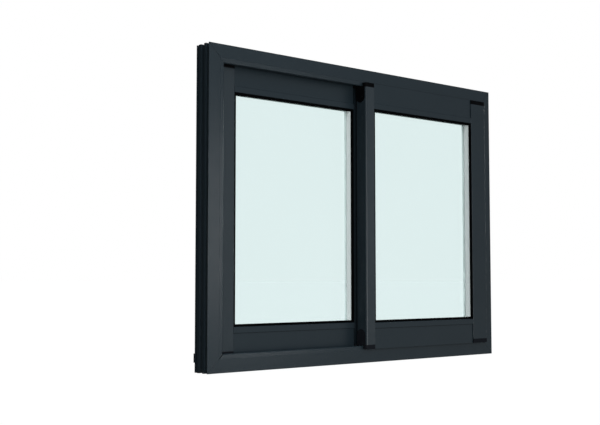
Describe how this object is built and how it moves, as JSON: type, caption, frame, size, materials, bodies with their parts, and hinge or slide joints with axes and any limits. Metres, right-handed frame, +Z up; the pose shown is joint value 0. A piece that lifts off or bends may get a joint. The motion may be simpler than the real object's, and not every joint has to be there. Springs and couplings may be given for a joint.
{
  "type": "sliding window",
  "caption": "Horizontal sliding window in dark grey powder-coated aluminium, with double-glazed sashes that run on rollers along tracks in a mitred frame.",
  "frame": {"origin": "centre of the frame's underside, midway between the room face and the outdoor face", "axes": "+X to the right seen from the room, +Y outdoors, +Z up"},
  "size_m": [0.98, 0.075, 0.75],
  "materials": {
    "powder_coat": "fine satin powder coat, anthracite grey",
    "black_plastic": "moulded, slightly grained",
    "black_rubber": "extruded rubber, matt",
    "grey_sealant": "cured silicone, satin, light grey",
    "pile": "dense short pile",
    "glass": "clear float glass, faint green edge",
    "spacer_aluminium": "matt mill finish",
    "cast_aluminium": "as cast",
    "screw_steel": "zinc plated",
    "nylon": "turned nylon"
  },
  "bodies": {
    "frame": {"frame_head": "powder_coat", "frame_sill": "powder_coat", "frame_left_jamb": "powder_coat", "frame_right_jamb": "powder_coat", "corner_cleats": "cast_aluminium", "cleat_screws": "screw_steel", "head_seal_block": "black_plastic", "sill_seal_block": "black_plastic", "travel_stops": "black_rubber", "drain_covers": "black_plastic", "drip_nosing": "powder_coat", "nosing_end_caps": "black_plastic"},
    "front_sash": {"front_top_rail": "powder_coat", "front_bottom_rail": "powder_coat", "front_lock_stile": "powder_coat", "front_meeting_stile": "powder_coat", "front_interlock": "powder_coat", "front_interlock_pile": "pile", "front_inner_pane": "glass", "front_outer_pane": "glass", "front_spacer": "spacer_aluminium", "front_edge_sealant": "black_rubber", "front_room_gasket": "black_rubber", "front_outdoor_seal": "grey_sealant", "front_setting_blocks": "black_plastic", "front_lock_top_cap": "black_plastic", "front_lock_bottom_cap": "black_plastic", "front_meeting_top_cap": "black_plastic", "front_meeting_bottom_cap": "black_plastic", "front_pile_seals": "pile", "front_top_guides": "black_plastic", "front_roller_housings": "black_plastic", "front_roller_axles": "screw_steel", "front_corner_screws": "screw_steel"},
    "front_meeting_wheel": {"front_meeting_side_wheel": "nylon"},
    "front_lock_wheel": {"front_lock_side_wheel": "nylon"},
    "rear_sash": {"rear_top_rail": "powder_coat", "rear_bottom_rail": "powder_coat", "rear_lock_stile": "powder_coat", "rear_meeting_stile": "powder_coat", "rear_interlock": "powder_coat", "rear_interlock_pile": "pile", "rear_inner_pane": "glass", "rear_outer_pane": "glass", "rear_spacer": "spacer_aluminium", "rear_edge_sealant": "black_rubber", "rear_room_gasket": "black_rubber", "rear_outdoor_seal": "grey_sealant", "rear_setting_blocks": "black_plastic", "rear_lock_top_cap": "black_plastic", "rear_lock_bottom_cap": "black_plastic", "rear_meeting_top_cap": "black_plastic", "rear_meeting_bottom_cap": "black_plastic", "rear_pile_seals": "pile", "rear_top_guides": "black_plastic", "rear_roller_housings": "black_plastic", "rear_roller_axles": "screw_steel", "rear_corner_screws": "screw_steel"},
    "rear_meeting_wheel": {"rear_meeting_side_wheel": "nylon"},
    "rear_lock_wheel": {"rear_lock_side_wheel": "nylon"}
  },
  "joints": [
    {"name": "front_sash_slide", "type": "slide", "parent": "frame", "child": "front_sash", "axis": [-1, 0, 0], "range_m": [0, 0.43]},
    {"name": "rear_sash_slide", "type": "slide", "parent": "frame", "child": "rear_sash", "axis": [1, 0, 0], "range_m": [0, 0.43]},
    {"name": "front_meeting_wheel_roll", "type": "hinge", "parent": "front_sash", "child": "front_meeting_wheel", "pos_m": [0.07, -0.0195, 0.0528], "axis": [0, -1, 0], "range_deg": [0, 2600]},
    {"name": "front_lock_wheel_roll", "type": "hinge", "parent": "front_sash", "child": "front_lock_wheel", "pos_m": [0.3459, -0.0195, 0.0528], "axis": [0, -1, 0], "range_deg": [0, 2600]},
    {"name": "rear_meeting_wheel_roll", "type": "hinge", "parent": "rear_sash", "child": "rear_meeting_wheel", "pos_m": [-0.07, 0.0195, 0.0528], "axis": [0, 1, 0], "range_deg": [0, 2600]},
    {"name": "rear_lock_wheel_roll", "type": "hinge", "parent": "rear_sash", "child": "rear_lock_wheel", "pos_m": [-0.3459, 0.0195, 0.0528], "axis": [0, 1, 0], "range_deg": [0, 2600]}
  ],
  "couplings": [
    {"joint": "front_meeting_wheel_roll", "follows": "front_sash_slide", "rad_per_m": 105.26},
    {"joint": "front_lock_wheel_roll", "follows": "front_sash_slide", "rad_per_m": 105.26},
    {"joint": "rear_meeting_wheel_roll", "follows": "rear_sash_slide", "rad_per_m": 105.26},
    {"joint": "rear_lock_wheel_roll", "follows": "rear_sash_slide", "rad_per_m": 105.26}
  ]
}
